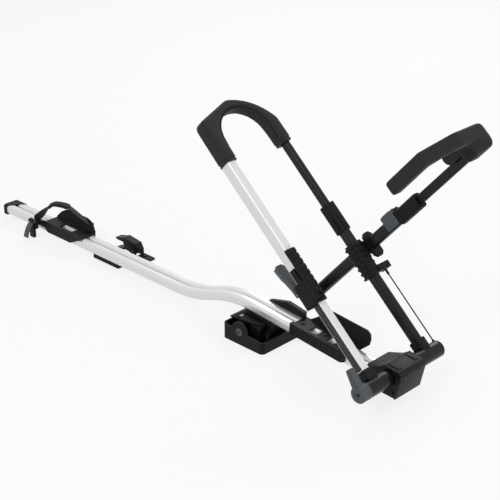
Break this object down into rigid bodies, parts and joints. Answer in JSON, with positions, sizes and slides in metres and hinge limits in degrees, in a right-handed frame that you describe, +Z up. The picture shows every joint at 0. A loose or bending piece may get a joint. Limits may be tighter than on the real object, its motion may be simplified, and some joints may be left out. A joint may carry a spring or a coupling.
{
  "type": "roof mounted bike carrier",
  "caption": "Roof bike carrier: aluminium wheel rail on crossbar feet, folding wheel hoop on a cross tube, and a telescopic hook arm that clamps the front wheel from ahead.",
  "frame": {"origin": "middle of the front foot's underside, where it rests on the crossbar", "axes": "+X towards the front of the vehicle, along the rail; +Y to the side of the hook arm; +Z up"},
  "size_m": [1.7096, 0.3195, 0.7059],
  "materials": {
    "bright_aluminium": "satin anodised extrusion",
    "black_tube": "black powder coat, satin",
    "black_steel": "black paint, low sheen",
    "housing_black": "fine-grained moulded plastic",
    "cover_grey": "fine-grained moulded plastic, dark grey",
    "lever_grey": "fine-grained moulded plastic, blue grey",
    "soft_pad": "soft matte moulding",
    "strap_rubber": "satin rubber",
    "bright_steel": "zinc-plated",
    "lock_metal": "turned metal"
  },
  "bodies": {
    "base": {"rail": "bright_aluminium", "rail_end_cap": "housing_black", "pivot_housing": "housing_black", "housing_cover": "cover_grey", "housing_screws": "black_steel", "pivot_bushes": "housing_black", "wheel_cradle": "housing_black", "cradle_screws": "black_steel", "foot_shell": "housing_black", "foot_clamp_block": "housing_black"},
    "rear_mount": {"rear_mount_pad": "strap_rubber", "rear_mount_plate": "housing_black", "rear_mount_foot": "strap_rubber", "rear_claw_pin": "bright_steel"},
    "foot_jaw": {"foot_jaw": "black_steel", "foot_bolts": "bright_steel"},
    "torque_knob": {"torque_knob": "lever_grey", "torque_spindle": "bright_steel"},
    "lower_hoop": {"cross_tube": "black_tube", "cross_tube_cap": "housing_black", "near_leg_socket": "housing_black", "far_leg_socket": "housing_black", "rack_bar": "bright_aluminium", "toothed_rack": "black_steel", "far_leg_lower_tube": "black_tube", "leg_collar": "housing_black", "slider_block": "housing_black", "cable_ferrule": "black_steel", "lock_cable": "strap_rubber", "cable_anchor": "housing_black"},
    "collar_button": {"collar_button": "housing_black"},
    "fold_lock_lever": {"fold_lock_lever": "lever_grey", "lock_core": "black_steel"},
    "upper_hoop": {"near_leg_tube": "bright_aluminium", "far_leg_upper_tube": "black_tube", "hoop_core": "housing_black", "hoop_pad": "soft_pad", "pad_insert": "soft_pad", "ratchet_housing": "housing_black", "ratchet_pawl": "bright_steel", "grip_pin": "bright_steel", "release_pin": "bright_steel"},
    "ratchet_grip": {"ratchet_grip": "housing_black"},
    "release_lever": {"release_lever": "lever_grey"},
    "hook_arm": {"hook_arm_tube": "black_tube", "hook_arm_tail_cap": "housing_black", "hook_arm_bracket": "housing_black", "hook_pivot_pin": "black_steel", "hook_arm_sleeve": "housing_black", "thumb_lever_pin": "bright_steel"},
    "thumb_lever": {"thumb_lever": "lever_grey"},
    "hook_slide": {"hook_inner_bar": "black_tube", "hook_pad": "soft_pad"},
    "rear_claw": {"rear_claw": "black_steel"},
    "rear_tray": {"rear_wheel_tray": "housing_black", "wheel_strap": "strap_rubber", "strap_pad": "strap_rubber", "buckle_body": "housing_black", "buckle_pin": "bright_steel"},
    "buckle_lever": {"buckle_lever": "lever_grey"}
  },
  "joints": [
    {"name": "hoop_fold", "type": "hinge", "parent": "base", "child": "lower_hoop", "pos_m": [0.458, 0, 0.079], "axis": [0, -1, 0], "range_deg": [-15, 34]},
    {"name": "hoop_telescope", "type": "slide", "parent": "lower_hoop", "child": "upper_hoop", "axis": [-0.7455, 0, 0.6665], "range_m": [-0.16, 0.06]},
    {"name": "ratchet_grip_swing", "type": "hinge", "parent": "upper_hoop", "child": "ratchet_grip", "pos_m": [0.28747, -0.113, 0.26635], "axis": [0, 1, 0], "range_deg": [0, 30]},
    {"name": "release_lever_pull", "type": "hinge", "parent": "upper_hoop", "child": "release_lever", "pos_m": [0.2208, -0.107, 0.24279], "axis": [0, -1, 0], "range_deg": [0, 18], "stiffness_Nm_per_rad": 0.15, "springref_deg": -20.05},
    {"name": "collar_button_press", "type": "slide", "parent": "lower_hoop", "child": "collar_button", "axis": [0, 1, 0], "range_m": [0, 0.0025], "stiffness_N_per_m": 300, "springref_m": -0.002},
    {"name": "fold_lock_turn", "type": "hinge", "parent": "lower_hoop", "child": "fold_lock_lever", "pos_m": [0.458, -0.147, 0.079], "axis": [0, -1, 0], "range_deg": [0, 60]},
    {"name": "hook_arm_fold", "type": "hinge", "parent": "lower_hoop", "child": "hook_arm", "pos_m": [0.2269, 0.134, 0.28563], "axis": [0, -1, 0], "range_deg": [-40, 70]},
    {"name": "hook_telescope", "type": "slide", "parent": "hook_arm", "child": "hook_slide", "axis": [0.6567, 0, 0.7541], "range_m": [-0.115, 0.06]},
    {"name": "thumb_lever_lift", "type": "hinge", "parent": "hook_arm", "child": "thumb_lever", "pos_m": [0.31135, 0.134, 0.41762], "axis": [0, 1, 0], "range_deg": [0, 22]},
    {"name": "torque_knob_turn", "type": "hinge", "parent": "base", "child": "torque_knob", "pos_m": [-0.01, -0.085, 0.038], "axis": [0, -1, 0], "range_deg": [0, 1441]},
    {"name": "foot_jaw_slide", "type": "slide", "parent": "base", "child": "foot_jaw", "axis": [-1, 0, 0], "range_m": [0, 0.005]},
    {"name": "rear_mount_slide", "type": "slide", "parent": "base", "child": "rear_mount", "axis": [1, 0, 0], "range_m": [-0.02, 0.15]},
    {"name": "rear_claw_swing", "type": "hinge", "parent": "rear_mount", "child": "rear_claw", "pos_m": [-0.606, 0.078, 0.025], "axis": [0, -1, 0], "range_deg": [0, 38]},
    {"name": "rear_tray_slide", "type": "slide", "parent": "base", "child": "rear_tray", "axis": [1, 0, 0], "range_m": [-0.1, 0.25]},
    {"name": "buckle_lever_open", "type": "hinge", "parent": "rear_tray", "child": "buckle_lever", "pos_m": [-0.946, -0.0555, 0.0557], "axis": [-1, 0, 0], "range_deg": [0, 110]}
  ],
  "couplings": [
    {"joint": "torque_knob_turn", "follows": "foot_jaw_slide", "rad_per_m": 5026.5}
  ]
}
